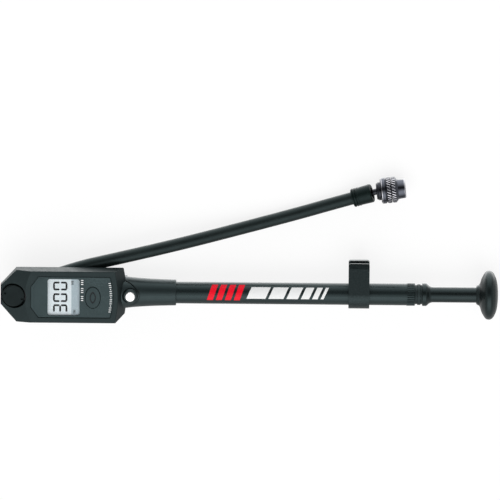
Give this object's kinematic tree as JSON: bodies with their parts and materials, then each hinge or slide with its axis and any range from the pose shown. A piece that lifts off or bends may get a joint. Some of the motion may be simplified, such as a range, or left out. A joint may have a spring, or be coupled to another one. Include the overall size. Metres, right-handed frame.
{
  "type": "shock suspension pump",
  "caption": "Slim hand pump for air suspension: gauge head with display, long barrel with sliding knob handle, swivelling hose with a screw-on valve chuck, and a hose clip.",
  "frame": {"origin": "bottom centre of the pump without its hose, on the plane that its foot and knob rest on", "axes": "+X along the barrel from the gauge head to the handle, +Z out of the display, +Y to the side that the hose and its clip are on"},
  "size_m": [0.3656, 0.1069, 0.036],
  "materials": {
    "housing": "fine-textured black glass-filled nylon",
    "panel": "satin black plastic inlay",
    "window": "clear polycarbonate display window",
    "lcd": "reflective liquid crystal display",
    "rubber": "matte black silicone and nitrile rubber",
    "board": "green solder mask",
    "steel": "zinc-plated and spring steel",
    "brass": "turned brass",
    "core": "machined aluminium",
    "anodised": "black hard-anodised aluminium, satin",
    "bright": "polished nickel plate",
    "chuck": "dark nickel plate, knurled",
    "rod": "polished chrome-plated steel tube",
    "grip": "semi-gloss black plastic",
    "hose": "smooth black rubber over textile braid",
    "ferrule": "black-green anodised ferrule",
    "acetal": "natural acetal"
  },
  "bodies": {
    "pump_body": {"front_cover": "housing", "face_panel": "panel", "display_window": "window", "lcd_module": "lcd", "contact_strips": "rubber", "circuit_board": "board", "button_switch": "steel", "pressure_sensor": "steel", "rear_cover": "housing", "cover_screws": "steel", "body_screws": "steel", "main_body": "housing", "coin_cell": "steel", "battery_contact": "steel", "manifold": "core", "swivel_cap": "housing", "check_seat": "brass", "check_spring": "steel", "barrel_seal": "rubber", "bleed_collar": "anodised", "bleed_spring": "steel", "barrel": "anodised", "end_cap": "anodised", "rod_bush": "acetal", "hose_clip": "housing"},
    "handle": {"piston_rod": "rod", "handle_grip": "grip", "bumper": "rubber", "knob": "grip", "palm_pad": "grip", "knob_screw": "steel"},
    "plunger": {"piston": "acetal", "piston_seal": "rubber"},
    "hose_arm": {"hose_swivel": "brass", "swivel_seals": "rubber", "swivel_clip": "steel", "hose_crimp": "anodised", "hose": "hose", "hose_ferrule": "ferrule", "chuck_stem": "bright", "chuck_core": "chuck", "chuck_seal": "rubber"},
    "chuck_lock": {"lock_ring": "chuck"},
    "chuck_coupler": {"coupler": "chuck"},
    "valve_pin": {"depressor_pin": "bright"},
    "button": {"power_button": "rubber"},
    "bleed_valve": {"bleed_button": "bright", "bleed_seal": "rubber"},
    "ball": {"check_ball": "steel"},
    "door": {"battery_door": "housing"}
  },
  "joints": [
    {"name": "pump_stroke", "type": "slide", "parent": "pump_body", "child": "plunger", "axis": [1, 0, 0], "range_m": [0, 0.17]},
    {"name": "handle_turn", "type": "hinge", "parent": "plunger", "child": "handle", "pos_m": [-0.07275, -0.0022, 0.018], "axis": [1, 0, 0], "continuous": true},
    {"name": "hose_swing", "type": "hinge", "parent": "pump_body", "child": "hose_arm", "pos_m": [-0.17305, -0.0022, 0.0175], "axis": [0, 0, 1], "range_deg": [-5, 322]},
    {"name": "lock_turn", "type": "hinge", "parent": "hose_arm", "child": "chuck_lock", "pos_m": [0.09268, 0.07368, 0.0096], "axis": [0.9932, 0.1167, 0], "range_deg": [0, 360]},
    {"name": "pin_push", "type": "slide", "parent": "hose_arm", "child": "valve_pin", "axis": [0.9932, 0.1167, 0], "range_m": [0, 0.0015]},
    {"name": "coupler_turn", "type": "hinge", "parent": "hose_arm", "child": "chuck_coupler", "pos_m": [0.09268, 0.07368, 0.0096], "axis": [0.9932, 0.1167, 0], "continuous": true},
    {"name": "power_press", "type": "slide", "parent": "pump_body", "child": "button", "axis": [0, 0, -1], "range_m": [0, 0.0006], "stiffness_N_per_m": 1500, "springref_m": -0.0003},
    {"name": "bleed_press", "type": "slide", "parent": "pump_body", "child": "bleed_valve", "axis": [0, 0, -1], "range_m": [0, 0.0012], "stiffness_N_per_m": 1500, "springref_m": -0.001, "deforming": ["bleed_spring"]},
    {"name": "check_lift", "type": "slide", "parent": "pump_body", "child": "ball", "axis": [-1, 0, 0], "range_m": [0, 0.0008], "stiffness_N_per_m": 200, "springref_m": -0.001, "deforming": ["check_spring"]},
    {"name": "door_turn", "type": "hinge", "parent": "pump_body", "child": "door", "pos_m": [-0.12075, -0.0022, 0], "axis": [0, 0, -1], "range_deg": [0, 30]}
  ],
  "couplings": [
    {"joint": "pin_push", "follows": "lock_turn", "m_per_rad": 0.00023873}
  ]
}
